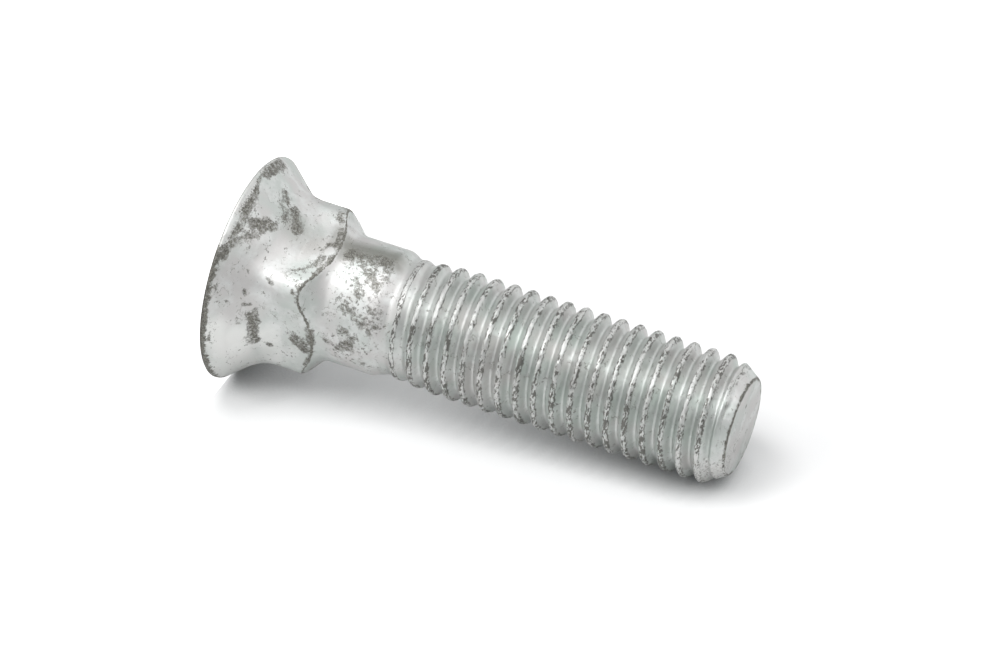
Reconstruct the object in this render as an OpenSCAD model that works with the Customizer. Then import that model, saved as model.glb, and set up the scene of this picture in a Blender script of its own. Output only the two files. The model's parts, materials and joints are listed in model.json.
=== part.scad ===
// Plow bolt, 5/8-11 UNC x 2 1/2 in: flat round countersunk head, short square neck,
// plain shank and a right-hand rolled thread with a pointed end. One forging.
// The bolt stands on its head: the head's face is z = 0 and the thread points up.

/* [Head] */
// Diameter of the flat face and rim
head_d = 28; // [25:0.1:30]
// Height of the straight rim band
rim_h = 0.25; // [0.2:0.05:1.2]
// Radius that breaks the rim into the countersunk side
rim_round = 0.3; // [0.2:0.1:1.5]
// Bevel round the face
face_bevel = 0.15; // [0.05:0.05:0.2]
// Full angle of the countersunk side
head_angle = 80; // [78:1:92]

/* [Neck] */
// Width across the flats
neck_w = 16.3; // [15.8:0.1:17.4]
// Radius of the four long edges
neck_edge_r = 2.7; // [2.4:0.1:3.8]
// Reach of the blend from the countersunk side into the neck
neck_blend = 1.7; // [0.8:0.1:2]
// Height at which the four long edges end
neck_end = 10.2; // [9.4:0.1:11.5]
// Slope of the shoulder from the neck down to the shank, from the axis
shoulder_angle = 51; // [40:1:55]

/* [Shank] */
// Overall length, head face to point
bolt_len = 64.2; // [58:0.1:80]
// Diameter of the plain shank
shank_d = 15.7; // [15.5:0.05:16.1]

/* [Thread] */
// Length of the threaded end with its run-out
thread_len = 45.5; // [38:0.1:47]
// Pitch of the thread, 11 threads in an inch
pitch = 2.309; // [2.1:0.001:2.6]
// Diameter over the crests
major_d = 15.65; // [15.3:0.05:15.7]
// Diameter at the roots
minor_d = 13.1; // [12.7:0.1:13.4]
// Share of a pitch taken by the rounded crest
crest_share = 0.3; // [0.2:0.01:0.36]
// Share of a pitch taken by the rounded root
root_share = 0.22; // [0.14:0.01:0.26]
// Length over which the shank narrows to the blank that the thread is rolled on
narrowing_len = 2; // [1:0.1:3]
// Length over which the thread deepens to its full form
runout_len = 7; // [3:0.1:10]
// Direction in which the thread starts, from +X
thread_start = 25; // [0:1:359]
// Diameter of the flat at the point
point_d = 12; // [11.6:0.1:13]
// Length of the pointed end
point_len = 2.8; // [2:0.1:4.5]

/* [Fineness] */
// Straight steps around one turn of the thread
turn_steps = 36; // [24:4:40]
// Steps along each flat and around each edge of the neck
neck_steps = 8; // [6:1:10]

/* [Hidden] */
$fn = 96;

coat_colour = [0.74, 0.75, 0.73];
overlap = 1;      // length by which one solid runs into the next
seam = 0.05;      // the loft and the thread start this far inside the round solids

head_r = head_d / 2;
half_angle = head_angle / 2;
shank_r = shank_d / 2;
half_w = neck_w / 2;
edge_axis = half_w - neck_edge_r;                     // centre of a long edge's round
neck_reach = norm([edge_axis, edge_axis]) + neck_edge_r;  // radius over the long edges

// Countersunk side: where the rim's round ends, and the height at a given radius
cone_top_r = head_r - rim_round * (1 - cos(half_angle));
cone_low_z = rim_h + rim_round * sin(half_angle);
function cone_z(r) = cone_low_z + (cone_top_r - r) / tan(half_angle);
function cone_r(z) = cone_top_r - (z - cone_low_z) * tan(half_angle);

head_top_r = neck_reach + neck_blend;                 // here the blend takes over
head_top = cone_z(head_top_r);
blend_top = cone_z(half_w - neck_blend);              // here the flats are plain
blend_rows = 12;

// Height at which the shoulder has a given radius
function shoulder_z(r) = neck_end + (neck_reach - r) / tan(shoulder_angle);
shoulder_top = shoulder_z(shank_r);

thread_base = bolt_len - thread_len;
crest_r = major_d / 2;
root_r = minor_d / 2;
blank_r = (crest_r + root_r) / 2;                     // rolling moves the roots' metal to the crests
point_r = point_d / 2;

// A larger of two that rounds the corner between them over a reach k
function soft_max(a, b, k) = let (h = max(k - abs(a - b), 0) / k) max(a, b) + k * h * h / 4;

// Points of a long edge's round, and of the flat that leads up to it, in the first quarter
function edge_round() = [
    for (i = [0 : neck_steps])
        let (a = 90 * i / neck_steps)
            [edge_axis + neck_edge_r * cos(a), edge_axis + neck_edge_r * sin(a)],
];
function flat_steps() = [
    for (i = [1 : neck_steps - 1]) [half_w, edge_axis * (2 * i / neck_steps - 1)],
];
function turned(p, q) = [p[0] * cos(90 * q) - p[1] * sin(90 * q), p[0] * sin(90 * q) + p[1] * cos(90 * q)];
neck_section = [for (q = [0 : 3]) for (p = edge_round()) turned(p, q)];
loft_section = [for (q = [0 : 3]) for (p = concat(flat_steps(), edge_round())) turned(p, q)];

// Thread form over one pitch: [place along the pitch, depth from 0 at the root to 1 at the crest]
crest_edge = crest_share / 2;
root_edge = root_share / 2;
thread_form = [
    [-0.5, 0],
    [-0.5 + root_edge, 0.09],
    [-crest_edge, 0.9],
    [0, 1],
    [crest_edge, 0.9],
    [0.5 - root_edge, 0.09],
];
form_points = len(thread_form);
turns = ceil(thread_len / pitch) + 2;
last_row = turns * form_points;

// Between the shank and the full thread the blank narrows and the form deepens
narrowing_slope = (shank_r - blank_r) / narrowing_len;
function narrowing(z) = max(shank_r - seam - (z - thread_base) * narrowing_slope, blank_r);
function depth_share(z) = min(max((z - thread_base - narrowing_len / 2) / runout_len, 0), 1);
// The point trims the crests at the end
function point_limit(z) = point_r + (bolt_len - z) * (crest_r - point_r) / point_len;

function row_z(row, step) = thread_base - pitch + pitch
    * (floor(row / form_points) + thread_form[row % form_points][0] + 0.5 + step / turn_steps);
function row_r(row) = root_r + (crest_r - root_r) * thread_form[row % form_points][1];
// First and last rows of a column that lie in the threaded length
function low_row(step) = max([for (row = [0 : last_row]) if (row_z(row, step) <= thread_base) row]);
function high_row(step) = min([for (row = [0 : last_row]) if (row_z(row, step) >= bolt_len) row]);

// A point of the thread, brought back to the end planes where its row passes them
function thread_point(row, step) =
    let (z0 = row_z(row, step),
         z = min(max(z0, thread_base), bolt_len),
         next = z0 < z ? row + 1 : row - 1,
         share = z0 == z ? 0 : (z - z0) / (row_z(next, step) - z0),
         r0 = row_r(row) + share * (row_r(next) - row_r(row)),
         r = min(narrowing(z) + (r0 - blank_r) * depth_share(z), point_limit(z)),
         a = thread_start + 360 * step / turn_steps)
    [r * cos(a), r * sin(a), z];

module head() {
    rim_arc = [
        for (i = [0 : 4])
            let (a = half_angle * i / 4)
                [head_r - rim_round * (1 - cos(a)), rim_h + rim_round * sin(a)],
    ];
    rotate_extrude()
        polygon(concat(
            [[0, 0], [head_r - face_bevel, 0], [head_r, face_bevel]],
            rim_arc,
            [[head_top_r, head_top], [0, head_top]]
        ));
}

// Blend between the round countersunk side and the square neck
module neck_blend_loft() {
    columns = len(loft_section);
    levels = [for (i = [0 : blend_rows]) head_top + (blend_top - head_top) * i / blend_rows];
    points = concat(
        [
            for (z = levels)
                for (p = loft_section)
                    let (r = soft_max(norm(p), cone_r(z) - seam, neck_blend) / norm(p))
                        [p[0] * r, p[1] * r, z],
        ],
        [[0, 0, head_top], [0, 0, blend_top]]
    );
    low_centre = columns * (blend_rows + 1);
    high_centre = low_centre + 1;
    function slot(row, column) = row * columns + column % columns;
    sides = [
        for (i = [0 : blend_rows - 1])
            for (j = [0 : columns - 1])
                let (a = slot(i, j), b = slot(i, j + 1), c = slot(i + 1, j), d = slot(i + 1, j + 1))
                    each [[a, c, b], [b, c, d]],
    ];
    low_end = [for (j = [0 : columns - 1]) [low_centre, slot(0, j), slot(0, j + 1)]];
    high_end = [
        for (j = [0 : columns - 1])
            [high_centre, slot(blend_rows, j + 1), slot(blend_rows, j)],
    ];
    polyhedron(points, concat(sides, low_end, high_end));
}

// Straight part of the neck, whose end is turned down to a shoulder
module neck() {
    neck_blend_loft();
    intersection() {
        translate([0, 0, blend_top])
            linear_extrude(height = shoulder_top - blend_top + overlap)
                polygon(neck_section);
        rotate_extrude()
            polygon([
                [0, 0],
                [head_top_r, 0],
                [head_top_r, shoulder_z(head_top_r)],
                [shank_r, shoulder_top],
                [0, shoulder_top],
            ]);
    }
}

module shank() {
    shank_low = head_top - overlap;
    translate([0, 0, shank_low])
        cylinder(h = thread_base - shank_low, r = shank_r);
}

// Right-hand thread as one closed solid whose rows of points follow the helix
module thread() {
    slots = last_row + 1;
    low = [for (step = [0 : turn_steps - 1]) low_row(step)];
    high = [for (step = [0 : turn_steps - 1]) high_row(step)];
    points = concat(
        [for (step = [0 : turn_steps - 1]) for (row = [0 : last_row]) thread_point(row, step)],
        [[0, 0, thread_base], [0, 0, bolt_len]]
    );
    low_centre = turn_steps * slots;
    high_centre = low_centre + 1;
    // Rows past an end share that end's point, and the last column joins the first one pitch up
    function slot(row, step) = step < turn_steps
        ? step * slots + min(max(row, low[step]), high[step])
        : slot(row + form_points, 0);
    function real(face) = face[0] != face[1] && face[1] != face[2] && face[2] != face[0];
    sides = [
        for (step = [0 : turn_steps - 1])
            for (row = [0 : last_row - 1])
                let (a = slot(row, step), b = slot(row, step + 1),
                     c = slot(row + 1, step), d = slot(row + 1, step + 1))
                    for (face = [[a, c, b], [b, c, d]])
                        if (real(face)) face,
    ];
    low_end = [for (step = [0 : turn_steps - 1]) [low_centre, slot(0, step), slot(0, step + 1)]];
    high_end = [
        for (step = [0 : turn_steps - 1])
            [high_centre, slot(last_row, step + 1), slot(last_row, step)],
    ];
    polyhedron(points, concat(sides, low_end, high_end));
}

module plow_bolt() {
    color(coat_colour) {
        head();
        neck();
        shank();
        thread();
    }
}

plow_bolt();
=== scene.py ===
"""Plow bolt, 5/8-11 UNC x 2 1/2 in: forged and rolled surface, worn zinc coating, plain stage."""

import json
import math
import random
import bmesh
import bpy
import numpy as np
from mathutils import Matrix, Vector


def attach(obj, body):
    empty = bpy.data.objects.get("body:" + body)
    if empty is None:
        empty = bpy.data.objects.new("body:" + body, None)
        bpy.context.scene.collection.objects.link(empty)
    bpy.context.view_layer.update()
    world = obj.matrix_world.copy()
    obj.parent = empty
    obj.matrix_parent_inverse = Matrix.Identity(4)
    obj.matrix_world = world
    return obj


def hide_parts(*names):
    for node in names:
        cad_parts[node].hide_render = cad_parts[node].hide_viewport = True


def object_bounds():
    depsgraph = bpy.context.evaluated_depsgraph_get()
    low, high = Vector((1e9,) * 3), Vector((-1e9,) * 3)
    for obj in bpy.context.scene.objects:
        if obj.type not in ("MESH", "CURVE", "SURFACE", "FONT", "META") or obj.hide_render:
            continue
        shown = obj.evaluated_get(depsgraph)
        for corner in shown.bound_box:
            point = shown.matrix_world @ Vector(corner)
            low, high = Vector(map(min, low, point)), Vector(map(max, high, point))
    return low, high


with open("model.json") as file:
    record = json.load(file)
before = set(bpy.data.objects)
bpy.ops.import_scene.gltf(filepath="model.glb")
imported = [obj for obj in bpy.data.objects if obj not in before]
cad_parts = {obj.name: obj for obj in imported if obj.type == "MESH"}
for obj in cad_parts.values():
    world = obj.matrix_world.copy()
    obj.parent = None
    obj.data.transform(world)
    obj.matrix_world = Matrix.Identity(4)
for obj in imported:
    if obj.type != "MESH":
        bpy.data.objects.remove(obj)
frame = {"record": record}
cad_low, cad_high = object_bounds()

MM = 0.001
PITCH = 25.4 / 11                 # 11 threads in an inch

# ---------------------------------------------------------------- sizes, in mm

mounts = {mount["name"]: mount for mount in frame["record"]["mounts"]}
HEAD_R = (cad_high.x - cad_low.x) / 2 / MM
BOLT_LEN = cad_high.z / MM
SHANK_R = mounts["shank"]["dims"]["r_mm"]
HALF_FLAT = mounts["neck_flat"]["pos_m"][0] / MM

FACE_BEVEL = 0.15                 # bevel round the flat face
RIM_TOP = 0.25                    # height of the straight rim band
RIM_ROUND = 0.3
HEAD_SLOPE = math.radians(40)     # countersunk side, from the axis
NECK_EDGE_R = 2.7
NECK_BLEND = 1.7                  # reach of the blend from the countersunk side into the neck
NECK_END = 10.2                   # the four long edges end here
SHOULDER_SLOPE = math.radians(51)
SHOULDER_EDGE = 0.35              # reach of the rounding where the flats are turned away
SHOULDER_FILLET = 1.1             # reach of the fillet from the shoulder into the shank

THREAD_LEN = 45.5
CREST_R = 15.65 / 2
ROOT_R = 13.1 / 2
THREAD_START = 25                 # degrees from +X
NARROWING = 2                     # length over which the shank narrows to the rolled blank
RUNOUT = 7                        # length over which the thread deepens
POINT_R = 6
POINT_LEN = 2.8
POINT_ROUND = 0.3                 # radius round the end face
POINT_BLEND = 0.3                 # reach of the blend where the point trims the crests
NICK_SIZE = 0.8                   # length of the nicks in the crests
NICK_DEPTH = 0.12
NICK_FADE = 0.5                   # the nicks fade out over this length below the end's edge
NICK_LEVELS = (0.45, 0.72)        # levels of their noise between which a nick gets its depth
NICK_REACH = (0.24, 0.12)         # distances from a crest between which they set in, in pitches

# Thread form, in pitches and in depths of the thread
FLANK_TOP = 1.406                 # height over the roots where the two flanks of a crest would meet
FLANK_FALL = 3.375                # how far a flank falls over a whole pitch
CREST_ROUNDING = 0.5
ROOT_ROUNDING = 0.9

COLUMNS = 180                     # columns of points round the bolt
THREAD_ROWS = 16                  # rows of points in a pitch
CROWDING = 0.3                    # how strongly those rows crowd together on the crests
BODY_STEP = 0.15                  # height of a row on the head, neck and shank
FACE_RINGS = 14                   # rings of points on the head's flat face
FACE_CENTRE_R = 1                 # radius of the innermost of them
RIM_STEPS = 4                     # steps in the rounding of the rim
END_STEPS = 6                     # steps in the rounding round the end face
END_RINGS = 10                    # rings of points on the end face
END_CENTRE_R = 0.8

NECK_REACH = (HALF_FLAT - NECK_EDGE_R) * math.sqrt(2) + NECK_EDGE_R
CONE_R = HEAD_R - RIM_ROUND * (1 - math.cos(HEAD_SLOPE))
CONE_Z = RIM_TOP + RIM_ROUND * math.sin(HEAD_SLOPE)
SHOULDER_LOW = NECK_END - 2       # below this height the neck's sides are plain
THREAD_BASE = BOLT_LEN - THREAD_LEN
POINT_DROP = (CREST_R - POINT_R) / POINT_LEN


# ---------------------------------------------------------------- shape

def soft_max(a, b, reach):
    """The larger of two, with the corner between them rounded over a reach."""
    near = np.clip(reach - np.abs(a - b), 0, None) / reach
    return np.maximum(a, b) + reach * near * near / 4


def soft_min(a, b, reach):
    """The smaller of two, rounded in the same way."""
    return -soft_max(-a, -b, reach)


def square_reach(angle):
    """Distance from the axis to the side of the square neck, in a direction."""
    turn = (angle + math.pi / 4) % (math.pi / 2) - math.pi / 4
    flat = HALF_FLAT / np.cos(turn)
    axis = HALF_FLAT - NECK_EDGE_R
    lean = np.abs(turn) - math.pi / 4
    centre = axis * math.sqrt(2)
    half_chord = np.sqrt(np.clip(NECK_EDGE_R ** 2 - (centre * np.sin(lean)) ** 2, 0, None))
    edge = centre * np.cos(lean) + half_chord
    on_flat = HALF_FLAT * np.tan(np.abs(turn)) < axis
    return np.where(on_flat, flat, edge)


def body_radius(angle, z):
    """Distance from the axis to the countersunk side, neck, shoulder or shank."""
    cone = CONE_R - (z - CONE_Z) * math.tan(HEAD_SLOPE)
    neck = soft_max(square_reach(angle), cone, NECK_BLEND)
    shoulder = NECK_REACH - (z - NECK_END) * math.tan(SHOULDER_SLOPE)
    turned = soft_min(neck, shoulder, SHOULDER_EDGE)
    return np.where(z > SHOULDER_LOW, soft_max(turned, SHANK_R, SHOULDER_FILLET), neck)


def ring_surface(bm, rings):
    """Joins rings of points into a skin whose faces look away from the axis."""
    rows = [[bm.verts.new(point * MM) for point in ring] for ring in rings]
    for low, high in zip(rows, rows[1:]):
        for i in range(COLUMNS):
            j = (i + 1) % COLUMNS
            bm.faces.new((low[i], low[j], high[j], high[i]))
    return rows


def fan(bm, ring, centre, outward_up):
    """Closes a ring with a fan from its centre."""
    middle = bm.verts.new(centre * MM)
    for i in range(COLUMNS):
        j = (i + 1) % COLUMNS
        corner = (ring[i], ring[j], middle) if outward_up else (ring[j], ring[i], middle)
        bm.faces.new(corner)


def forged_body():
    """Head, neck and shank, from the centre of the flat face up to the first thread."""
    angle = np.arange(COLUMNS) * 2 * math.pi / COLUMNS
    around = np.stack([np.cos(angle), np.sin(angle)], 1)

    def ring(radius, z):
        """A ring of points from one radius, or from a radius for each column."""
        points = around * np.reshape(radius, (-1, 1))
        return [Vector((x, y, z)) for x, y in points]

    rings = [ring(r, 0) for r in np.linspace(FACE_CENTRE_R, HEAD_R - FACE_BEVEL, FACE_RINGS)]
    rings.append(ring(HEAD_R, FACE_BEVEL))
    for step in range(RIM_STEPS + 1):
        lean = HEAD_SLOPE * step / RIM_STEPS
        radius = HEAD_R - RIM_ROUND * (1 - math.cos(lean))
        rings.append(ring(radius, RIM_TOP + RIM_ROUND * math.sin(lean)))
    rows = round((THREAD_BASE - CONE_Z) / BODY_STEP)
    for row in range(1, rows + 1):
        z = CONE_Z + (THREAD_BASE - CONE_Z) * row / rows
        rings.append(ring(body_radius(angle, z), z))
    bm = bmesh.new()
    skin = ring_surface(bm, rings)
    fan(bm, skin[0], Vector((0, 0, 0)), False)
    return as_mesh(bm, "forged_body")


def end_face():
    """The flat end and its rounded edge, and the radius and height at which that edge starts."""
    angle = np.arange(COLUMNS) * 2 * math.pi / COLUMNS
    lean_from = math.atan2(1, POINT_DROP)
    edge = []
    for step in range(END_STEPS + 1):
        lean = lean_from * (1 - step / END_STEPS)
        r = POINT_R + POINT_ROUND * (math.sin(lean) - math.tan(lean_from / 2))
        edge.append((r, BOLT_LEN - POINT_ROUND * (1 - math.cos(lean))))
    flat = [(r, BOLT_LEN) for r in np.linspace(edge[-1][0], END_CENTRE_R, END_RINGS)[1:]]
    bm = bmesh.new()
    skin = ring_surface(bm, [
        [Vector((r * math.cos(a), r * math.sin(a), z)) for a in angle] for r, z in edge + flat
    ])
    fan(bm, skin[-1], Vector((0, 0, BOLT_LEN)), True)
    return as_mesh(bm, "end_face"), edge[0]


def as_mesh(bm, name):
    """Puts a finished bmesh into the scene as a piece, and frees it."""
    mesh = bpy.data.meshes.new(name)
    bm.to_mesh(mesh)
    bm.free()
    piece = bpy.data.objects.new(name, mesh)
    bpy.context.scene.collection.objects.link(piece)
    return piece


# ---------------------------------------------------------------- wear

# Where the coating is rubbed through: a stroke from one place to another, each an angle round the
# bolt in degrees and a height, then the stroke's half width and how solid it is
WORN_STROKES = (
    # along the rim
    ((-127, 0.9), (-108, 0.8), 0.95, 1.00),
    ((-106, 0.7), (-97, 0.8), 0.60, 0.80),
    ((-94, 1.0), (-79, 1.2), 0.90, 0.98),
    ((-78, 1.3), (-64, 1.3), 1.10, 0.82),
    ((-64, 1.2), (-53, 0.9), 0.85, 0.95),
    ((-54, 0.5), (-20, 0.4), 0.45, 0.90),
    ((-20, 0.4), (30, 0.4), 0.40, 0.88),
    ((-40, 0.9), (-5, 0.9), 0.40, 0.66),
    # upper part of the countersunk side
    ((-77, 2.6), (-82, 4.0), 1.15, 1.00),
    ((-65, 1.6), (-73, 3.3), 0.85, 0.78),
    ((-110, 3.3), (-101, 4.3), 0.85, 0.68),
    ((-100, 4.3), (-95, 4.9), 0.75, 0.80),
    ((-106, 5.3), (-94, 6.5), 0.95, 0.88),
    # lower part of the countersunk side
    ((-21, 4.9), (3, 5.2), 1.00, 0.95),
    ((10, 6.4), (14, 6.8), 0.40, 0.95),
    ((-39, 3.6), (-34, 4.0), 0.35, 0.85),
    ((-28, 3.9), (-28, 4.7), 0.35, 0.85),
    ((-49, 5.8), (-46, 6.7), 0.35, 0.85),
    ((-50, 3.6), (-49, 3.8), 0.30, 0.85),
    ((-30, 2.2), (-29, 2.5), 0.30, 0.75),
    ((-15, 3.5), (-14, 3.9), 0.30, 0.75),
    # flats of the neck
    ((-84, 10.3), (-94, 10.9), 0.55, 0.72),
    ((-59, 7.8), (-62, 9.6), 0.35, 0.80),
    ((-63, 9.6), (-78, 10.7), 0.75, 0.85),
    ((-54, 7.8), (-50, 10.3), 0.80, 0.58),
    ((-45, 9.4), (-44, 10.6), 0.35, 0.80),
    ((0, 10.1), (10, 11.2), 1.20, 0.95),
    # shank
    ((-91, 13.8), (-94, 18.2), 1.35, 0.90),
    ((-85, 15.8), (-78, 17.2), 1.00, 0.78),
    ((-95, 18.0), (-80, 18.8), 0.80, 0.82),
    ((-72, 15.2), (-65, 16.4), 0.60, 0.66),
    ((-72, 13.0), (-67, 13.6), 0.30, 0.72),
    ((-80, 16.8), (-69, 18.4), 1.00, 0.72),
    ((-60, 16.4), (-52, 19.0), 1.20, 0.72),
    ((-44, 15.6), (-34, 19.4), 1.30, 0.72),
    ((-46, 18.6), (-46, 20.8), 0.40, 0.80),
    ((-38, 18.2), (-28, 19.1), 0.60, 0.74),
    ((-24, 15.4), (-20, 17.6), 0.90, 0.68),
    ((-4, 15.2), (-10, 16.7), 0.90, 0.95),
    ((-7, 13.7), (-6, 13.9), 0.35, 0.85),
    ((-14, 17.2), (7, 18.4), 0.95, 0.62),
    ((-24, 21.4), (-24, 22.0), 0.30, 1.00),
)

# The same along the neck's end: from one angle to another, how far above the edge, then as before
NECK_END_STROKES = (
    (-136, -112, -0.55, 0.75, 0.78),
    (-112, -94, -0.45, 0.60, 0.84),
    (-94, -62, -0.20, 0.40, 0.85),
    (-52, -38, -0.10, 0.45, 0.78),
    (-16, 0, -0.10, 0.65, 0.95),
    (14, 30, -0.20, 0.35, 0.75),
)

# Smooth darker films on the top of the shank, part stain and part painted shade, and painted shade in the
# hollow beside the neck's end and on one flat of the neck, given as the worn places are
STAIN_AND_SHADE_STROKES = (
    ((-101, 12.8), (-106, 18.4), 1.5, 0.95),
    ((-106, 17.9), (-97, 19.4), 0.9, 0.80),
    ((-108, 12.2), (-88, 12.7), 0.7, 0.70),
    ((-112, 10.8), (-96, 11.0), 0.8, 0.60),
    ((-96, 6.4), (-88, 8.6), 2.2, 0.50),
)

# Where the coating is painted paler: painted bounce light, as light thrown back from the board under the
# bolt
PAINTED_BOUNCE_STROKES = (
    ((-12, 1.5), (40, 1.5), 1.8, 0.95),
    ((-4, 3.4), (40, 3.4), 2.0, 1.00),
    ((0, 6.5), (30, 6.5), 2.0, 0.80),
    ((-12, 9.5), (20, 9.5), 1.6, 0.40),
    ((110, 2.0), (150, 3.0), 2.0, 0.90),
)

# Zones of small dark dashes, where the coating only starts to go
SPECKLED_STROKES = (
    ((-88, 14.6), (-80, 18.0), 2.2, 1.00),
    ((-72, 15.0), (-62, 18.6), 1.9, 0.85),
    ((-48, 15.0), (-36, 20.0), 2.2, 1.00),
    ((-20, 14.6), (-12, 19.0), 2.0, 0.85),
    ((5, 14.5), (10, 19.0), 1.6, 0.85),
    ((-58, 8.6), (-48, 10.2), 1.4, 0.90),
    ((-84, 9.4), (-100, 10.6), 1.3, 0.80),
    ((-104, 3.6), (-92, 5.2), 1.8, 0.95),
    ((-82, 2.0), (-70, 2.4), 1.6, 1.00),
    ((-52, 3.0), (-28, 3.6), 1.6, 0.62),
    ((-40, 1.2), (0, 1.2), 1.0, 0.75),
    ((-12, 10.0), (6, 10.6), 1.5, 0.75),
    ((120, 14.0), (170, 18.0), 2.4, 0.90),
    ((60, 3.0), (100, 4.5), 2.2, 0.85),
)

# Pits in the end face: angle in degrees, distance from the axis and size
END_PITS = (
    (-105, 3.0, 0.30),
    (-104, 1.0, 0.30),
    (-112, 1.9, 0.18),
)

# Edges that are rubbed bright. The rim between -124 and -60 degrees and the neck's ridge are painted
# highlights as well as burnish
BURNISH_AND_HIGHLIGHT_STROKES = (
    ((-124, 0.2), (-98, 0.2), 0.45, 0.80),
    ((-98, 0.3), (-60, 0.3), 0.70, 1.00),
    ((60, 0.2), (130, 0.2), 0.35, 0.80),
    ((-56, 4.8), (-53, 8.0), 0.30, 0.62),
    ((-53, 8.0), (-51, 10.0), 0.45, 0.66),
)

# Worn places on the side that the named strokes leave bare are drawn by lot, from these zones:
# lowest and highest place, half width and number
FAR_ZONES = (
    (0.6, 1.0, 0.8, 6),
    (2.0, 6.0, 0.9, 7),
    (9.8, 11.2, 0.6, 6),
    (13.2, 18.2, 1.0, 8),
)
FAR_SIDE = (40, 215)              # degrees
FAR_LENGTH = 16                   # the furthest that such a stroke goes round, in degrees
FAR_SEED = 11

# Dark lines along edges, and the crumbled side of the point
NECK_LINE_PAST = 0.05             # how far past the neck's end its line lies, on the turned side
NECK_LINE_HALF = 0.45             # its half width
RIM_LINE_HALF = 0.6
RIM_LINE_SOLID = 0.88
RIM_DARK = (-66, 90)              # degrees between which a dark line runs along the rim
RIM_FADES = (12, 20)              # degrees over which the dark line along it starts and ends
END_LINE_HALF = 0.5
END_LINE_SOLID = 0.80
CRUMBLED_TURN = 14                # degrees, the middle of the side on which the point is crumbled
CRUMBLED_HALF = 28
CRUMBLED_LEN = 6.5                # how far down from the end that goes
CRUMBLED_FADE = 3.5               # length over which it starts
CRUMBLED_BRIGHT = 0.66            # how bright the crumbled coating is rubbed


def surface_point(angle, height):
    """A point of the head, neck or shank, from its angle in degrees and its height."""
    turn = math.radians(angle)
    cone = CONE_R - (height - CONE_Z) * math.tan(HEAD_SLOPE)
    radius = float(body_radius(np.array([turn]), height)[0]) if height > CONE_Z else cone
    return np.array([radius * math.cos(turn), radius * math.sin(turn), height])


def neck_end_height(angle):
    """Height at which the turned shoulder cuts the side of the neck, at an angle in degrees."""
    reach = float(square_reach(np.array([math.radians(angle)]))[0])
    return NECK_END + (NECK_REACH - reach) / math.tan(SHOULDER_SLOPE)


def neck_end_strokes():
    """The strokes along the neck's end, each cut in short lengths that follow the edge."""
    strokes = []
    for start, end, above, half_width, solid in NECK_END_STROKES:
        stops = np.linspace(start, end, 2 + abs(end - start) // 4)
        places = [(angle, neck_end_height(angle) + above) for angle in stops]
        strokes += [(low, high, half_width, solid) for low, high in zip(places, places[1:])]
    return strokes


def far_side_strokes():
    """More worn places of the same kinds, on the side that the named ones leave bare."""
    draw = random.Random(FAR_SEED)
    strokes = []
    for low, high, width, count in FAR_ZONES:
        for _ in range(count):
            angle = draw.uniform(*FAR_SIDE)
            height = draw.uniform(low, high)
            end_angle = angle + draw.uniform(-FAR_LENGTH, FAR_LENGTH)
            end_height = min(max(height + draw.uniform(-1, 1), low), high)
            half_width = width * draw.uniform(0.5, 1.3)
            solid = draw.uniform(0.6, 0.95)
            strokes.append(((angle, height), (end_angle, end_height), half_width, solid))
    return strokes


def painted_share(points, strokes):
    """How far each point lies inside the strokes, from 0 outside to a stroke's own solidity.
    A stroke is solid to a third of its half width, and fades out at five thirds of it."""
    share = np.zeros(len(points))
    for start, end, half_width, solid in strokes:
        a, b = surface_point(*start), surface_point(*end)
        along = np.clip((points - a) @ (b - a) / max((b - a) @ (b - a), 1e-6), 0, 1)
        distance = np.linalg.norm(points - a - along[:, None] * (b - a), axis=1)
        share = np.maximum(share, solid * np.clip(1.25 - 0.75 * distance / half_width, 0, 1))
    return share


def neck_edge_share(points):
    """How near each point is to the edge at the neck's end."""
    angle = np.arctan2(points[:, 1], points[:, 0])
    z = points[:, 2]
    shoulder = NECK_REACH - (z - NECK_END) * math.tan(SHOULDER_SLOPE)
    share = 1 - np.abs(square_reach(angle) - shoulder - NECK_LINE_PAST) / NECK_LINE_HALF
    beside_neck_end = (z > NECK_END - 1) & (z < THREAD_BASE - 5)
    return np.where(beside_neck_end, np.clip(share, 0, 1), 0)


def rim_share(points):
    """How near each point is to the rim, on the side where a dark line runs along it."""
    angle = np.degrees(np.arctan2(points[:, 1], points[:, 0]))
    radius = np.hypot(points[:, 0], points[:, 1])
    share = RIM_LINE_SOLID * np.clip(1.15 - np.abs(radius - HEAD_R) / RIM_LINE_HALF, 0, 1)
    starts = np.clip((angle - RIM_DARK[0]) / RIM_FADES[0], 0, 1)
    ends = np.clip((RIM_DARK[1] - angle) / RIM_FADES[1], 0, 1)
    return share * starts * ends


def end_edge_share(points):
    """How near each point is to the edge round the end face."""
    radius = np.hypot(points[:, 0], points[:, 1])
    distance = np.hypot(radius - POINT_R, points[:, 2] - BOLT_LEN)
    return END_LINE_SOLID * np.clip(1.25 - distance / END_LINE_HALF, 0, 1)


def crumbled_share(points):
    """How far the coating is crumbled at each point: the last turns and the point, on one side."""
    angle = np.degrees(np.arctan2(points[:, 1], points[:, 0]))
    side = np.clip(1.5 - np.abs(angle - CRUMBLED_TURN) / CRUMBLED_HALF, 0, 1)
    return side * np.clip((points[:, 2] - BOLT_LEN + CRUMBLED_LEN) / CRUMBLED_FADE, 0, 1)


def pit_share(points):
    """How near each point is to one of the pits in the end face."""
    share = np.zeros(len(points))
    for angle, radius, size in END_PITS:
        turn = math.radians(angle)
        pit = np.array([radius * math.cos(turn), radius * math.sin(turn), BOLT_LEN])
        share = np.maximum(share, np.clip(1.4 - np.linalg.norm(points - pit, axis=1) / size, 0, 1))
    return share


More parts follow.
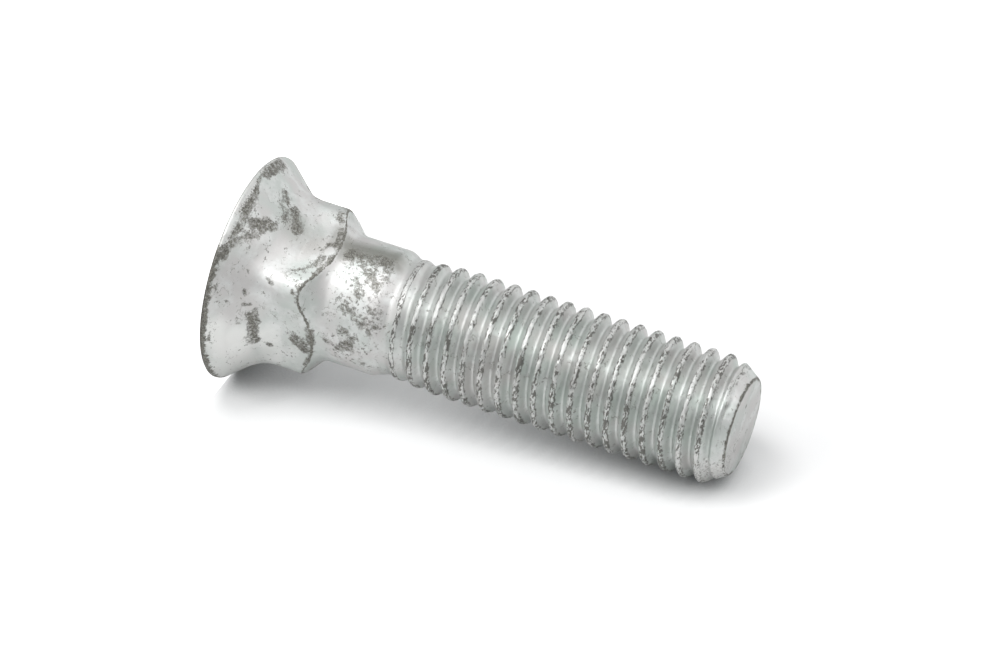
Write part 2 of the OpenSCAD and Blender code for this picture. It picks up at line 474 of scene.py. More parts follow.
def paint_wear(bolt):
    """Keeps the wear, and the painted bounce light, shade and highlights, with the mesh, as point
    attributes that the coating reads.
    """
    points = np.array([v.co for v in bolt.data.vertices]) / MM
    worn = painted_share(points, (*WORN_STROKES, *neck_end_strokes(), *far_side_strokes()))
    speckled = painted_share(points, SPECKLED_STROKES)
    burnished_and_highlit = painted_share(points, BURNISH_AND_HIGHLIGHT_STROKES)
    crumbled = crumbled_share(points)
    paints = {
        "worn": np.maximum(worn, pit_share(points)),
        "stain_and_shade": painted_share(points, STAIN_AND_SHADE_STROKES),
        "pale": painted_share(points, PAINTED_BOUNCE_STROKES),
        "speckled": np.maximum(speckled, crumbled),
        "burnished_and_highlit": np.maximum(burnished_and_highlit, CRUMBLED_BRIGHT * crumbled),
        "neck_edge": neck_edge_share(points),
        "end_edge": np.maximum(end_edge_share(points), rim_share(points)),
    }
    for name, values in paints.items():
        attribute = bolt.data.attributes.new(name, "FLOAT", "POINT")
        attribute.data.foreach_set("value", values.astype(np.float32))


# ---------------------------------------------------------------- node trees

MATHS = "ShaderNodeMath"
RANGE = "ShaderNodeMapRange"      # inputs: the value, the range it lies in, the range it is brought to
MIX = "ShaderNodeMix"
NOISE = "ShaderNodeTexNoise"
SMOOTH = "SMOOTHSTEP"
MIX_FACTOR = 0                    # a Mix node's sockets for colours
MIX_A = 6
MIX_B = 7


def add_node(tree, kind, inputs=(), **settings):
    """Adds a node, gives its inputs their values or links by name or number, and returns it."""
    node = tree.nodes.new(kind)
    for name, value in settings.items():
        setattr(node, name, value)
    for key, value in inputs.items() if isinstance(inputs, dict) else enumerate(inputs):
        if isinstance(value, bpy.types.Node):
            value = next(out for out in value.outputs if out.enabled)
        if isinstance(value, bpy.types.NodeSocket):
            tree.links.new(value, node.inputs[key])
        else:
            node.inputs[key].default_value = value
    return node


def rolled_thread(material, top_r, top_z):
    """Geometry Nodes: a skin whose rows follow the helix, from the shank up to the end's edge."""
    tree = bpy.data.node_groups.new("rolled_thread", "GeometryNodeTree")
    tree.interface.new_socket("Geometry", in_out="OUTPUT", socket_type="NodeSocketGeometry")
    sizes = {
        "Pitch": PITCH * MM,
        "Crest radius": CREST_R * MM,
        "Root radius": ROOT_R * MM,
        "Shank radius": SHANK_R * MM,
        "Thread base": THREAD_BASE * MM,
        "Thread top": top_z * MM,
        "Top radius": top_r * MM,
        "Point drop": POINT_DROP,
        "Narrowing": NARROWING * MM,
        "Run-out": RUNOUT * MM,
        "Start": THREAD_START / 360,
        "Turns": float(math.ceil(THREAD_LEN / PITCH) + 2),
        "Nick scale": 1 / (NICK_SIZE * MM),
        "Nick depth": NICK_DEPTH * MM,
    }
    for name in sizes:
        tree.interface.new_socket(name, in_out="INPUT", socket_type="NodeSocketFloat")
    coat = tree.interface.new_socket("Coating", in_out="INPUT", socket_type="NodeSocketMaterial")
    inputs = add_node(tree, "NodeGroupInput").outputs

    # A grid: its width is one turn, its height the whole thread with turns to spare
    turns = round(sizes["Turns"])
    grid = add_node(tree, "GeometryNodeMeshGrid", {
        "Size X": 1.0, "Size Y": 1.0, "Vertices X": COLUMNS + 1, "Vertices Y": turns * THREAD_ROWS + 1})
    place = add_node(tree, "ShaderNodeSeparateXYZ", [add_node(tree, "GeometryNodeInputPosition")]).outputs
    turn = add_node(tree, MATHS, [place["X"], 0.5], operation="ADD")
    along = add_node(tree, MATHS, [place["Y"], 0.5], operation="ADD")
    pitches = add_node(tree, MATHS, [along, inputs["Turns"]], operation="MULTIPLY")

    # Rows crowd together on the crests, where the form is narrow
    wave = add_node(tree, MATHS, [
        add_node(tree, MATHS, [pitches, 2 * math.pi], operation="MULTIPLY")], operation="SINE")
    crowded = add_node(tree, MATHS, [wave, CROWDING / (2 * math.pi), pitches], operation="MULTIPLY_ADD")
    raised = add_node(tree, MATHS, [crowded, turn], operation="ADD")
    offset = add_node(tree, MATHS, [raised, 1.0], operation="SUBTRACT")
    started = add_node(tree, MATHS, [offset, inputs["Start"]], operation="SUBTRACT")
    free_z = add_node(tree, MATHS, [
        started, inputs["Pitch"], inputs["Thread base"]], operation="MULTIPLY_ADD")
    z = add_node(tree, "ShaderNodeClamp", [free_z, inputs["Thread base"], inputs["Thread top"]])

    # Place in the pitch: 0 at a root, 0.5 at a crest
    up = add_node(tree, MATHS, [z, inputs["Thread base"]], operation="SUBTRACT")
    in_pitches = add_node(tree, MATHS, [up, inputs["Pitch"]], operation="DIVIDE")
    behind = add_node(tree, MATHS, [in_pitches, turn], operation="SUBTRACT")
    phase = add_node(tree, MATHS, [
        add_node(tree, MATHS, [behind, inputs["Start"]], operation="ADD")], operation="FRACT")
    across = add_node(tree, MATHS, [phase, 0.5], operation="SUBTRACT")
    from_crest = add_node(tree, MATHS, [across], operation="ABSOLUTE")

    # Straight flanks, with the crest and the root rounded
    flank = add_node(tree, MATHS, [from_crest, -FLANK_FALL, FLANK_TOP], operation="MULTIPLY_ADD")
    capped = add_node(tree, MATHS, [flank, 1.0, CREST_ROUNDING], operation="SMOOTH_MIN")
    form = add_node(tree, MATHS, [capped, 0.0, ROOT_ROUNDING], operation="SMOOTH_MAX")
    depth = add_node(tree, MATHS, [inputs["Crest radius"], inputs["Root radius"]], operation="SUBTRACT")
    form_r = add_node(tree, MATHS, [form, depth, inputs["Root radius"]], operation="MULTIPLY_ADD")

    # The shank narrows to the blank, and the form deepens from there
    both_radii = add_node(tree, MATHS, [inputs["Crest radius"], inputs["Root radius"]], operation="ADD")
    blank = add_node(tree, MATHS, [both_radii, 2.0], operation="DIVIDE")
    narrowed = add_node(tree, RANGE, {
        "Value": up, "From Min": 0.0, "From Max": inputs["Narrowing"],
        "To Min": inputs["Shank radius"], "To Max": blank}, interpolation_type=SMOOTH)
    half_narrowing = add_node(tree, MATHS, [inputs["Narrowing"], 0.5], operation="MULTIPLY")
    full_at = add_node(tree, MATHS, [half_narrowing, inputs["Run-out"]], operation="ADD")
    share = add_node(tree, RANGE, {
        "Value": up, "From Min": half_narrowing, "From Max": full_at, "To Min": 0.0, "To Max": 1.0})
    raise_r = add_node(tree, MATHS, [form_r, blank], operation="SUBTRACT")
    thread_r = add_node(tree, MATHS, [raise_r, share, narrowed], operation="MULTIPLY_ADD")

    # The point trims the crests, and never lets them past its own cone
    below = add_node(tree, MATHS, [inputs["Thread top"], z], operation="SUBTRACT")
    point_r = add_node(tree, MATHS, [
        below, inputs["Point drop"], inputs["Top radius"]], operation="MULTIPLY_ADD")
    trimmed = add_node(tree, MATHS, [thread_r, point_r, POINT_BLEND * MM], operation="SMOOTH_MIN")
    smooth_r = add_node(tree, MATHS, [trimmed, point_r], operation="MINIMUM")

    # Crests are crushed and nicked, which takes a little off them
    angle = add_node(tree, MATHS, [turn, 2 * math.pi], operation="MULTIPLY")
    cosine = add_node(tree, MATHS, [angle], operation="COSINE")
    sine = add_node(tree, MATHS, [angle], operation="SINE")
    smooth_point = add_node(tree, "ShaderNodeCombineXYZ", [
        add_node(tree, MATHS, [cosine, smooth_r], operation="MULTIPLY"),
        add_node(tree, MATHS, [sine, smooth_r], operation="MULTIPLY"), z])
    crush = add_node(tree, NOISE, {
        "Vector": smooth_point, "Scale": inputs["Nick scale"], "Detail": 2.0, "Roughness": 0.6})
    nick = add_node(tree, RANGE, {
        "Value": crush, "From Min": NICK_LEVELS[0], "From Max": NICK_LEVELS[1],
        "To Min": 0.0, "To Max": inputs["Nick depth"]})
    near_crest = add_node(tree, RANGE, {
        "Value": from_crest, "From Min": NICK_REACH[0], "From Max": NICK_REACH[1],
        "To Min": 0.0, "To Max": share}, interpolation_type=SMOOTH)
    under_top = add_node(tree, RANGE, {
        "Value": below, "From Min": 0.0, "From Max": NICK_FADE * MM, "To Min": 0.0, "To Max": near_crest})
    taken = add_node(tree, MATHS, [nick, under_top], operation="MULTIPLY")
    r = add_node(tree, MATHS, [smooth_r, taken], operation="SUBTRACT")

    x = add_node(tree, MATHS, [cosine, r], operation="MULTIPLY")
    y = add_node(tree, MATHS, [sine, r], operation="MULTIPLY")
    point = add_node(tree, "ShaderNodeCombineXYZ", [x, y, z])
    wrapped = add_node(tree, "GeometryNodeSetPosition", {"Geometry": grid, "Position": point})
    joined = add_node(tree, "GeometryNodeMergeByDistance", {"Geometry": wrapped, "Distance": 0.002 * MM})
    real = add_node(tree, "GeometryNodeRealizeInstances", {"Geometry": joined})
    coated = add_node(tree, "GeometryNodeSetMaterial", {"Geometry": real, "Material": inputs["Coating"]})
    add_node(tree, "NodeGroupOutput", [coated])

    host = as_mesh(bmesh.new(), "thread_host")
    modifier = host.modifiers.new("rolled_thread", "NODES")
    modifier.node_group = tree
    for item in tree.interface.items_tree:
        if item.in_out == "INPUT" and item.name in sizes:
            modifier[item.identifier] = sizes[item.name]
    modifier[coat.identifier] = material
    thread = plain_copy(host, "thread")
    bpy.data.objects.remove(host)
    return thread


def plain_copy(piece, name):
    """The evaluated piece as a plain mesh with no modifier."""
    shaped = piece.evaluated_get(bpy.context.evaluated_depsgraph_get())
    mesh = bpy.data.meshes.new_from_object(shaped)
    copy = bpy.data.objects.new(name, mesh)
    bpy.context.scene.collection.objects.link(copy)
    return copy


def joined_bolt(parts, material):
    """One closed skin from parts whose border rings coincide."""
    bm = bmesh.new()
    for part in parts:
        bm.from_mesh(part.data)
        bpy.data.objects.remove(part)
    bmesh.ops.remove_doubles(bm, verts=bm.verts, dist=0.003 * MM)
    bmesh.ops.dissolve_degenerate(bm, edges=bm.edges, dist=0.001 * MM)
    bmesh.ops.recalc_face_normals(bm, faces=bm.faces)
    for face in bm.faces:
        face.smooth = True
    bolt = as_mesh(bm, "zinc_coated_bolt")
    bolt.data.materials.clear()
    bolt.data.materials.append(material)
    return bolt


# ---------------------------------------------------------------- materials

def hex_colour(code):
    """An sRGB hex value as a linear colour."""
    channels = [int(code[i:i + 2], 16) / 255 for i in (1, 3, 5)]
    return [c / 12.92 if c <= 0.04045 else ((c + 0.055) / 1.055) ** 2.4 for c in channels] + [1.0]


def new_material(name):
    """A material with an empty node tree, and that tree."""
    material = bpy.data.materials.new(name)
    material.use_nodes = True
    material.node_tree.nodes.clear()
    return material, material.node_tree


# Noises of the coating: size in mm of the largest features, detail and roughness. The coating's own
# grain is a few hundredths of a millimetre, so the two finest are drawn coarser than it to show
COATING_NOISES = {
    "drift": (6.0, 2.0, 0.5),
    "cloud": (2.2, 4.0, 0.6),
    "blotch": (1.4, 6.0, 0.75),
    "mottle": (0.45, 4.0, 0.7),
    "grain": (0.20, 2.0, 0.6),
}

STRIP_CENTRE = 0.05               # where the crushed strip lies across the thread, in pitches
STRIP_HALF = 0.12                 # its half width, in pitches
STRIP_SOFT = 0.015                # how softly it ends, in pitches
STRIP_WANDER = 0.20               # how far it wanders across the thread, in pitches
STRIP_START = (1.0, 3.0)          # mm above the thread's base between which the strip appears
STRIP_END = (1.4, 0.9)            # mm below the end face between which it is gone
FACET_SIZE = 0.50                 # mm; the crushed facets are drawn a little coarse, so that they show
STREAK_SIZE = 0.45
FACET_BEND = 0.3                  # mm by which the facets' borders are bent
FACET_STRETCH = 3.0               # they are this much longer round the bolt than along it
PAINTED_HIGHLIGHT_SIDE = 85                  # the strip is brightest this many degrees before +X, and opposite: a painted highlight, with painted shade between


def rubbed_places(tree, noise, paint):
    """Where the coating is rubbed through, from 0 to 1: patches, dashes, lines on edges, scratches."""
    # The painted share, with ragged borders, islands and holes
    ragged = add_node(tree, MATHS, [noise["blotch"], 2.3, paint["worn"]], operation="MULTIPLY_ADD")
    broken = add_node(tree, MATHS, [noise["mottle"], 0.8, ragged], operation="MULTIPLY_ADD")
    holed = add_node(tree, RANGE, [broken, 2.06, 2.38], interpolation_type=SMOOTH)
    has_worn = add_node(tree, RANGE, [paint["worn"], 0.02, 0.30], interpolation_type=SMOOTH)
    flecked_with_zinc = add_node(tree, RANGE, [noise["mottle"], 0.62, 0.50, 0.35, 1.0])
    holed_worn = add_node(tree, MATHS, [holed, has_worn], operation="MULTIPLY")
    patch = add_node(tree, MATHS, [holed_worn, flecked_with_zinc], operation="MULTIPLY")

    # Small dark dashes where the coating only starts to go, and a few specks everywhere
    dashes = add_node(tree, MATHS, [paint["speckled"], 0.26, noise["mottle"]], operation="MULTIPLY_ADD")
    dashed = add_node(tree, RANGE, [dashes, 0.76, 0.86, 0.0, 0.85], interpolation_type=SMOOTH)
    specks = add_node(tree, MATHS, [noise["mottle"], noise["cloud"]], operation="MULTIPLY")
    speck = add_node(tree, RANGE, [specks, 0.37, 0.41, 0.0, 0.7], interpolation_type=SMOOTH)

    # A dark line follows the neck's end, the rim and the edge of the end face
    edges = add_node(tree, MATHS, [paint["neck_edge"], paint["end_edge"]], operation="MAXIMUM")
    edge_frayed = add_node(tree, MATHS, [noise["blotch"], 1.4, edges], operation="MULTIPLY_ADD")
    edge_broken = add_node(tree, MATHS, [noise["mottle"], 1.2, edge_frayed], operation="MULTIPLY_ADD")
    edge_line = add_node(tree, RANGE, [edge_broken, 1.80, 2.04], interpolation_type=SMOOTH)

    # Fine dark scratches, which follow the level lines of a noise and break off
    from_level = add_node(tree, MATHS, [noise["cloud"], 0.5], operation="SUBTRACT")
    level = add_node(tree, MATHS, [from_level], operation="ABSOLUTE")
    hairline = add_node(tree, RANGE, [level, 0.014, 0.004, 0.0, 0.75])
    hairline_breaks = add_node(tree, RANGE, [noise["blotch"], 0.50, 0.60], interpolation_type=SMOOTH)
    scratch = add_node(tree, MATHS, [hairline, hairline_breaks], operation="MULTIPLY")
    small_marks = add_node(tree, MATHS, [dashed, speck], operation="MAXIMUM")
    marks = add_node(tree, MATHS, [small_marks, scratch], operation="MAXIMUM")
    large_marks = add_node(tree, MATHS, [patch, edge_line], operation="MAXIMUM")
    return add_node(tree, MATHS, [large_marks, marks], operation="MAXIMUM")


def crushed_crests(tree, place, axes, noise):
    """The strip crushed into facets along the thread's crests: where the thread is, the strip, the
    facets' draws, and where it is dark and bright, with painted highlight and shade by the side it faces."""
    # Place across the thread: 0 at a crest, negative towards the head
    round_bolt = add_node(tree, MATHS, [axes["Y"], axes["X"]], operation="ARCTAN2")
    turn = add_node(tree, MATHS, [round_bolt, 2 * math.pi], operation="DIVIDE")
    up = add_node(tree, MATHS, [axes["Z"], THREAD_BASE * MM], operation="SUBTRACT")
    pitches = add_node(tree, MATHS, [up, PITCH * MM], operation="DIVIDE")
    behind = add_node(tree, MATHS, [pitches, turn], operation="SUBTRACT")
    started = add_node(tree, MATHS, [behind, THREAD_START / 360], operation="ADD")
    phase = add_node(tree, MATHS, [started], operation="FRACT")
    across = add_node(tree, MATHS, [phase, 0.5], operation="SUBTRACT")
    past_start = add_node(tree, RANGE, [
        up, STRIP_START[0] * MM, STRIP_START[1] * MM], interpolation_type=SMOOTH)
    before_end = add_node(tree, RANGE, [
        axes["Z"], (BOLT_LEN - STRIP_END[1]) * MM, (BOLT_LEN - STRIP_END[0]) * MM])
    on_thread = add_node(tree, MATHS, [past_start, before_end], operation="MULTIPLY")

    # The strip wanders and frays
    wander = add_node(tree, MATHS, [
        noise["cloud"], STRIP_WANDER, -STRIP_WANDER / 2], operation="MULTIPLY_ADD")
    frayed = add_node(tree, MATHS, [
        noise["mottle"], STRIP_WANDER, -STRIP_WANDER / 2 - STRIP_CENTRE], operation="MULTIPLY_ADD")
    shift = add_node(tree, MATHS, [wander, frayed], operation="ADD")
    shifted = add_node(tree, MATHS, [across, shift], operation="ADD")
    from_strip = add_node(tree, MATHS, [shifted], operation="ABSOLUTE")
    inside = add_node(tree, RANGE, [
        from_strip, STRIP_HALF + STRIP_SOFT, STRIP_HALF - STRIP_SOFT], interpolation_type=SMOOTH)
    strip = add_node(tree, MATHS, [inside, on_thread], operation="MULTIPLY")

    # Facets and streaks that are long in the thread's direction
    bent = add_node(tree, "ShaderNodeVectorMath", [
        noise["mottle"].outputs["Color"], (FACET_BEND * MM,) * 3], operation="MULTIPLY")
    bent_place = add_node(tree, "ShaderNodeVectorMath", [place, bent], operation="ADD")
    drawn_out = add_node(tree, "ShaderNodeMapping", {
        "Vector": bent_place, "Scale": (1.0, 1.0, FACET_STRETCH)})
    facets = add_node(tree, "ShaderNodeTexVoronoi", {"Vector": drawn_out, "Scale": 1 / (FACET_SIZE * MM)})
    streaks = add_node(tree, NOISE, {
        "Vector": drawn_out, "Scale": 1 / (STREAK_SIZE * MM), "Detail": 4.0, "Roughness": 0.65})
    facet = add_node(tree, "ShaderNodeSeparateColor", [facets.outputs["Color"]]).outputs

    # Their tone: dark where the coating is pitted, bright where it is rubbed, and a painted highlight on
    # one side and its opposite, with painted shade between
    from_side = add_node(tree, MATHS, [turn, PAINTED_HIGHLIGHT_SIDE / 360], operation="ADD")
    from_side_angle = add_node(tree, MATHS, [from_side, 2 * math.pi], operation="MULTIPLY")
    sideways = add_node(tree, MATHS, [from_side_angle], operation="COSINE")
    either_side = add_node(tree, MATHS, [sideways], operation="ABSOLUTE")
    # Painted highlight and shade: the strip is lighter where the highlight falls round the bolt, darker
    # away from it
    painted_highlight_tone = add_node(tree, RANGE, [either_side, 0.55, 0.95, -0.91, -0.74])
    patchy = add_node(tree, MATHS, [noise["drift"], 0.6, -0.30], operation="MULTIPLY_ADD")
    low_tone = add_node(tree, MATHS, [patchy, painted_highlight_tone], operation="ADD")
    uneven = add_node(tree, MATHS, [noise["cloud"], 1.2, low_tone], operation="MULTIPLY_ADD")
    grained = add_node(tree, MATHS, [noise["grain"], 0.6, uneven], operation="MULTIPLY_ADD")
    streaked = add_node(tree, MATHS, [streaks, 0.8, grained], operation="MULTIPLY_ADD")
    facet_tone = add_node(tree, MATHS, [facet["Red"], 0.70, -0.36], operation="MULTIPLY_ADD")
    tone = add_node(tree, MATHS, [streaked, facet_tone], operation="ADD")
    bright = add_node(tree, RANGE, [tone, 0.44, 0.76], interpolation_type=SMOOTH)
    pitted = add_node(tree, RANGE, [tone, 0.44, 0.28, 0.0, 0.95], interpolation_type=SMOOTH)

    # A broken dark line runs along both borders of the strip
    past_strip = add_node(tree, MATHS, [from_strip, STRIP_HALF], operation="SUBTRACT")
    from_border = add_node(tree, MATHS, [past_strip], operation="ABSOLUTE")
    on_border = add_node(tree, RANGE, [from_border, 0.036, 0.012, 0.0, 0.9], interpolation_type=SMOOTH)
    border_breaks = add_node(tree, RANGE, [noise["blotch"], 0.42, 0.54], interpolation_type=SMOOTH)
    broken_border = add_node(tree, MATHS, [on_border, border_breaks], operation="MULTIPLY")
    border = add_node(tree, MATHS, [broken_border, on_thread], operation="MULTIPLY")
    dark_strip = add_node(tree, MATHS, [pitted, strip], operation="MULTIPLY")
    dark = add_node(tree, MATHS, [dark_strip, border], operation="MAXIMUM")
    bright_strip = add_node(tree, MATHS, [bright, strip], operation="MULTIPLY")
    return on_thread, strip, facet, dark, bright_strip


def coating_colour(tree, noise, paint, on_thread, rubbed, dark_fleck, burnish_and_highlight):
    """Pale zinc, a little green in places and a little warm in others, with all that wears it, and the
    painted bounce light, shade and highlights laid on it.
    """
    warm = add_node(tree, RANGE, [noise["drift"], 0.40, 0.60], interpolation_type=SMOOTH)
    tint = add_node(tree, MIX, {
        MIX_FACTOR: warm, MIX_A: hex_colour("#CDD2CF"), MIX_B: hex_colour("#D3D2D1")}, data_type="RGBA")
    clouded = add_node(tree, RANGE, [noise["cloud"], 0.42, 0.72], interpolation_type=SMOOTH)
    cloudy = add_node(tree, MIX, {
        MIX_FACTOR: clouded, MIX_A: tint, MIX_B: hex_colour("#DFE1E0")}, data_type="RGBA")
    # Painted bounce light: paler where the pale strokes lie
    pale = add_node(tree, RANGE, [paint["pale"], 0.0, 1.0, 0.0, 0.8], interpolation_type=SMOOTH)
    bounce_lit = add_node(tree, MIX, {
        MIX_FACTOR: pale, MIX_A: cloudy, MIX_B: hex_colour("#F2F3F1")}, data_type="RGBA")
    thread_zinc = add_node(tree, MIX, {
        MIX_FACTOR: 1.0, MIX_A: cloudy, MIX_B: hex_colour("#F6F7F6")},
        data_type="RGBA", blend_type="MULTIPLY")
    zinc = add_node(tree, MIX, {
        MIX_FACTOR: on_thread, MIX_A: bounce_lit, MIX_B: thread_zinc}, data_type="RGBA")
    # Stain and painted shade: darker where those strokes lie
    film_and_shade = add_node(tree, RANGE, [paint["stain_and_shade"], 0.1, 1.0, 0.0, 0.8])
    filmed_and_shaded = add_node(tree, MIX, {
        MIX_FACTOR: film_and_shade, MIX_A: zinc, MIX_B: hex_colour("#83837B")}, data_type="RGBA")
    bare_grain = add_node(tree, RANGE, [noise["grain"], 0.36, 0.62], interpolation_type=SMOOTH)
    bare = add_node(tree, MIX, {
        MIX_FACTOR: bare_grain, MIX_A: hex_colour("#686762"), MIX_B: hex_colour("#908F89")},
        data_type="RGBA")
    scuffed = add_node(tree, MIX, {MIX_FACTOR: rubbed, MIX_A: filmed_and_shaded, MIX_B: bare}, data_type="RGBA")
    flecked = add_node(tree, MIX, {
        MIX_FACTOR: dark_fleck, MIX_A: scuffed, MIX_B: hex_colour("#72716D")}, data_type="RGBA")
    # Burnished flecks, painted highlights on the rim and the neck's ridge, and the crest strips' bright
    # side, in a pale colour
    return add_node(tree, MIX, {
        MIX_FACTOR: burnish_and_highlight, MIX_A: flecked, MIX_B: hex_colour("#DCDDDB")}, data_type="RGBA")


def zinc_coating():
    """Steel with a mechanically plated zinc coating: dull pale grey, grey-brown where it is rubbed
    through, and crushed bright in flecks along the thread's crests; painted highlights, painted
    shade and painted bounce light are laid on it as well."""
    material, tree = new_material("mechanically_zinc_coated_steel")
    place = add_node(tree, "ShaderNodeTexCoord").outputs["Object"]
    axes = add_node(tree, "ShaderNodeSeparateXYZ", [place]).outputs
    paint = {
        name: add_node(tree, "ShaderNodeAttribute", attribute_name=name).outputs["Fac"]
        for name in ("worn", "stain_and_shade", "pale", "speckled", "burnished_and_highlit", "neck_edge", "end_edge")
    }
    noise = {
        name: add_node(tree, NOISE, {
            "Vector": place, "Scale": 1 / (size * MM), "Detail": detail, "Roughness": rough})
        for name, (size, detail, rough) in COATING_NOISES.items()
    }
    rubbed = rubbed_places(tree, noise, paint)
    on_thread, strip, facet, dark_fleck, bright_strip = crushed_crests(tree, place, axes, noise)
    # Bright flecks where those strokes lie: burnish, and a painted highlight on the rim and the neck's
    # ridge
    rim_fleck = add_node(tree, MATHS, [noise["grain"], 1.3, paint["burnished_and_highlit"]], operation="MULTIPLY_ADD")
    bright_rim = add_node(tree, RANGE, [rim_fleck, 1.18, 1.42], interpolation_type=SMOOTH)
    burnish_and_highlight = add_node(tree, MATHS, [bright_strip, bright_rim], operation="MAXIMUM")
    colour = coating_colour(tree, noise, paint, on_thread, rubbed, dark_fleck, burnish_and_highlight)

    # Lumps, grain, sunk patches and facets stand in relief too, heights in mm
    lumps = add_node(tree, MATHS, [noise["cloud"], 0.05], operation="MULTIPLY")
    grained = add_node(tree, MATHS, [noise["grain"], 0.012, lumps], operation="MULTIPLY_ADD")
    sunk = add_node(tree, MATHS, [rubbed, -0.02, grained], operation="MULTIPLY_ADD")
    tilted = add_node(tree, MATHS, [facet["Green"], strip], operation="MULTIPLY")
    crushed = add_node(tree, MATHS, [tilted, 0.05, sunk], operation="MULTIPLY_ADD")
    relief = add_node(tree, "ShaderNodeBump", {"Strength": 1.0, "Distance": 1.0 * MM, "Height": crushed})

    # Dull all over, a little smoother on the rolled thread and smoothest where it is burnished or carries a
    # painted highlight
    dull = add_node(tree, RANGE, [noise["cloud"], 0.3, 0.7, 0.53, 0.45])
    drawn = add_node(tree, MATHS, [on_thread, -0.12, dull], operation="MULTIPLY_ADD")
    finish = add_node(tree, RANGE, [burnish_and_highlight, 0.0, 1.0, drawn, 0.34])
    surface = add_node(tree, "ShaderNodeBsdfPrincipled", {
        "Base Color": colour, "Metallic": 1.0, "Roughness": finish, "Normal": relief})
    add_node(tree, "ShaderNodeOutputMaterial", {"Surface": surface})
    return material


# ---------------------------------------------------------------- camera, stage and lights

VIEW_AZIMUTH = math.radians(37.864)
VIEW_ELEVATION = math.radians(15.467)
VIEW_ROLL = math.radians(107.967)  # shows the standing bolt as if it lay on its side
VIEW_AIM = Vector((-1.303, -1.013, 32.483)) * MM
VIEW_DISTANCE = 561.16 * MM
VIEW_LENS = 169.2
SENSOR_WIDTH = 36

# Each lamp: its direction as right, up and towards the camera, its width in metres and its watts
SOFTBOXES = {
    "key_softbox": ((-0.30, 0.81, 0.62), 0.24, 1.3),
    "front_softbox": ((-0.15, 0.50, 0.88), 0.22, 0.6),
    "right_softbox": ((0.62, 0.34, 0.80), 0.26, 0.36),
    "left_softbox": ((-0.75, 0.40, 0.62), 0.30, 1.3),
}
SOFTBOX_DISTANCE = 0.6            # metres

ROOM_LOW = 0.47                   # brightness of the room level with the bolt and below it
ROOM_HIGH = 1.12                  # and overhead
ROOM_LEAN = 0.26                  # how far its brightest part leans away from the camera

FLOOR_SIZE = 8                    # metres
FLOOR_GLOW = 0.9                  # added for the camera, so that the floor looks white
TABLE_TILT = math.radians(33.4)   # how far the camera looks down on the table behind the bolt
BOARD_SIZE = 200                  # width of the board that stands in for that table, in mm
BOARD_DEPTH = 13.95               # how far it lies behind the bolt's axis, in mm
BOARD_HEIGHT = 32                 # height of its middle, in mm
BOARD_TONE = 0.66                 # tone with which it throws light back on the bolt
SHADE_TONE = 0.76                 # tone with which the camera sees it
BOARD_GLOW = 0.12
CONTACT_REACH = 6                 # reach in mm of the darker shade where the bolt meets the board


def view_axes():
    """The view's right and up, and the way back to the camera."""
    across = Vector((math.cos(VIEW_AZIMUTH), math.sin(VIEW_AZIMUTH), 0))
    level = math.cos(VIEW_ELEVATION)
    back = Vector((
        math.sin(VIEW_AZIMUTH) * level, -math.cos(VIEW_AZIMUTH) * level, math.sin(VIEW_ELEVATION)))
    upright = back.cross(across)
    right = across * math.cos(VIEW_ROLL) + upright * math.sin(VIEW_ROLL)
    return right, back.cross(right), back


def turned(right, up, back, place):
    """A matrix that stands at a place, with its own -Z away from back."""
    matrix = Matrix((right, up, back)).transposed().to_4x4()
    matrix.translation = place
    return matrix


def add_camera():
    """The camera, far off with a long lens."""
    right, up, back = view_axes()
    lens = bpy.data.cameras.new("camera")
    lens.lens = VIEW_LENS
    lens.sensor_width = SENSOR_WIDTH
    lens.clip_start = 10 * MM
    camera = bpy.data.objects.new("camera", lens)
    camera.matrix_world = turned(right, up, back, VIEW_AIM + back * VIEW_DISTANCE)
    bpy.context.scene.collection.objects.link(camera)
    bpy.context.scene.camera = camera


def add_softbox(name, way, width, power):
    """A square soft lamp that stands off in a direction and looks at the bolt."""
    right, up, back = view_axes()
    way = (right * way[0] + up * way[1] + back * way[2]).normalized()
    side = way.orthogonal().normalized()
    lamp = bpy.data.lights.new(name, "AREA")
    lamp.size = width
    lamp.energy = power
    softbox = bpy.data.objects.new(name, lamp)
    softbox.matrix_world = turned(side, way.cross(side), way, VIEW_AIM + way * SOFTBOX_DISTANCE)
    bpy.context.scene.collection.objects.link(softbox)


def add_plane(name, middle, right, up, width, material):
    """A square plane of the stage, which throws no shadow itself."""
    bm = bmesh.new()
    half = width / 2
    corners = [(-half, -half), (half, -half), (half, half), (-half, half)]
    bm.faces.new([bm.verts.new(middle + right * a + up * b) for a, b in corners])
    plane = as_mesh(bm, name)
    plane.data.materials.append(material)
    plane.visible_shadow = False


def white_floor_paint():
    """Matt white paint, which the camera sees as plain white."""
    material, tree = new_material("white_painted_floor")
    ray = add_node(tree, "ShaderNodeLightPath")
    paint = add_node(tree, "ShaderNodeBsdfDiffuse", {"Color": hex_colour("#EFEFEF")})
    glow = add_node(tree, "ShaderNodeEmission", {"Color": (1, 1, 1, 1), "Strength": FLOOR_GLOW})
    both = add_node(tree, "ShaderNodeAddShader", [paint, glow])
    shown = add_node(tree, "ShaderNodeMixShader", [ray.outputs["Is Camera Ray"], paint, both])
    add_node(tree, "ShaderNodeOutputMaterial", {"Surface": shown})
    return material


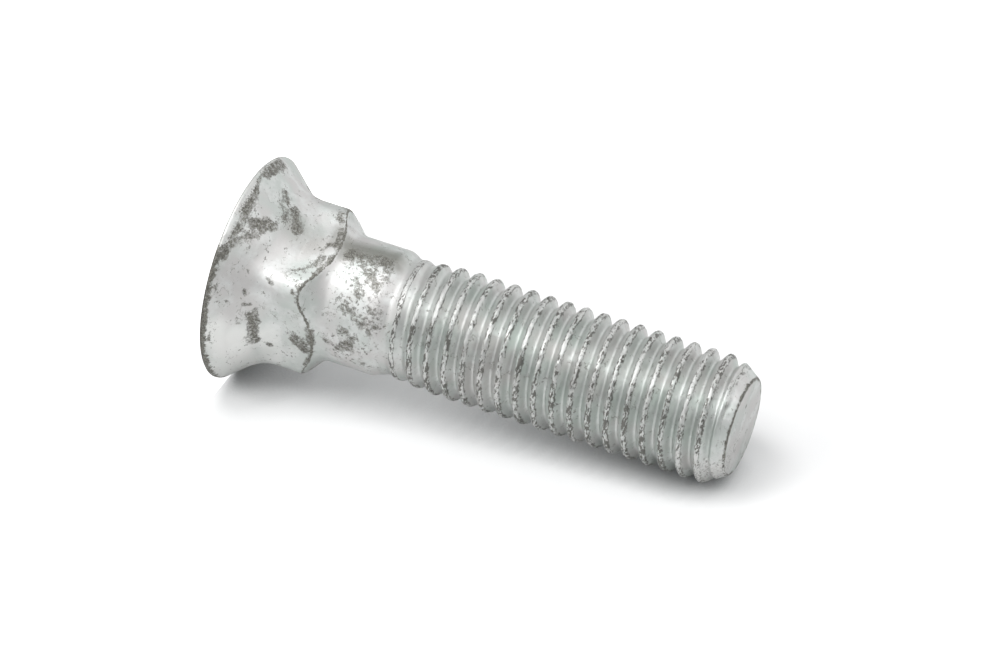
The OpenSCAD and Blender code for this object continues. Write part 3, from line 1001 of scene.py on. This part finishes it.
def white_board_paint():
    """Matt white card that takes the bolt's shadow, darker close to the bolt, and is clear from behind."""
    material, tree = new_material("white_shadow_board")
    facing = add_node(tree, "ShaderNodeNewGeometry")
    ray = add_node(tree, "ShaderNodeLightPath")
    near = add_node(tree, "ShaderNodeAmbientOcclusion", {"Distance": CONTACT_REACH * MM}, samples=4)
    openness = add_node(tree, RANGE, [near.outputs["AO"], 0.06, 0.42, 0.20, 1.0], interpolation_type=SMOOTH)
    paint = add_node(tree, "ShaderNodeBsdfDiffuse", {"Color": (BOARD_TONE,) * 3 + (1,)})
    shade_tone = add_node(tree, MATHS, [openness, SHADE_TONE], operation="MULTIPLY")
    shade = add_node(tree, "ShaderNodeBsdfDiffuse", {"Color": shade_tone})
    glow_strength = add_node(tree, MATHS, [openness, BOARD_GLOW], operation="MULTIPLY")
    glow = add_node(tree, "ShaderNodeEmission", {"Color": hex_colour("#EDF2F6"), "Strength": glow_strength})
    lit = add_node(tree, "ShaderNodeAddShader", [shade, glow])
    board = add_node(tree, "ShaderNodeMixShader", [ray.outputs["Is Camera Ray"], paint, lit])
    clear = add_node(tree, "ShaderNodeBsdfTransparent")
    shown = add_node(tree, "ShaderNodeMixShader", [facing.outputs["Backfacing"], board, clear])
    add_node(tree, "ShaderNodeOutputMaterial", {"Surface": shown})
    return material


def add_stage():
    """The floor, and behind the bolt a board that takes its shadow and throws light back on it."""
    add_plane("floor", Vector((0, 0, 0)), Vector((1, 0, 0)), Vector((0, 1, 0)), FLOOR_SIZE,
              white_floor_paint())
    right, up, back = view_axes()
    normal = up * math.cos(TABLE_TILT) + back * math.sin(TABLE_TILT)
    behind_bolt = Vector((0, 0, BOARD_HEIGHT * MM))
    middle = normal * (-BOARD_DEPTH * MM) + behind_bolt - normal * normal.dot(behind_bolt)
    add_plane("shadow_board", middle, right, normal.cross(right), BOARD_SIZE * MM, white_board_paint())


def add_world():
    """A pale room, brighter overhead, that the camera sees as plain white."""
    world = bpy.data.worlds.new("white_room")
    world.use_nodes = True
    tree = world.node_tree
    tree.nodes.clear()
    _, up, back = view_axes()
    overhead = (up - back * ROOM_LEAN).normalized()
    way = add_node(tree, "ShaderNodeTexCoord").outputs["Generated"]
    height = add_node(tree, "ShaderNodeVectorMath", [way, overhead], operation="DOT_PRODUCT")
    ray = add_node(tree, "ShaderNodeLightPath")
    brightness = add_node(tree, RANGE, [height.outputs["Value"], -0.2, 1.0, ROOM_LOW, ROOM_HIGH])
    room = add_node(tree, "ShaderNodeBackground", {"Color": (1, 1, 1, 1), "Strength": brightness})
    white = add_node(tree, "ShaderNodeBackground", {"Color": (1, 1, 1, 1), "Strength": 1.0})
    shown = add_node(tree, "ShaderNodeMixShader", [ray.outputs["Is Camera Ray"], room, white])
    add_node(tree, "ShaderNodeOutputWorld", {"Surface": shown})
    bpy.context.scene.world = world
    bpy.context.scene.view_settings.view_transform = "Standard"


# ---------------------------------------------------------------- the bolt on its stage

add_camera()
add_world()
add_stage()
for name, (way, width, power) in SOFTBOXES.items():
    add_softbox(name, way, width, power)

zinc = zinc_coating()
end, (top_r, top_z) = end_face()
bolt = joined_bolt([forged_body(), rolled_thread(zinc, top_r, top_z), end], zinc)
paint_wear(bolt)
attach(bolt, "root")
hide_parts("plow_bolt")
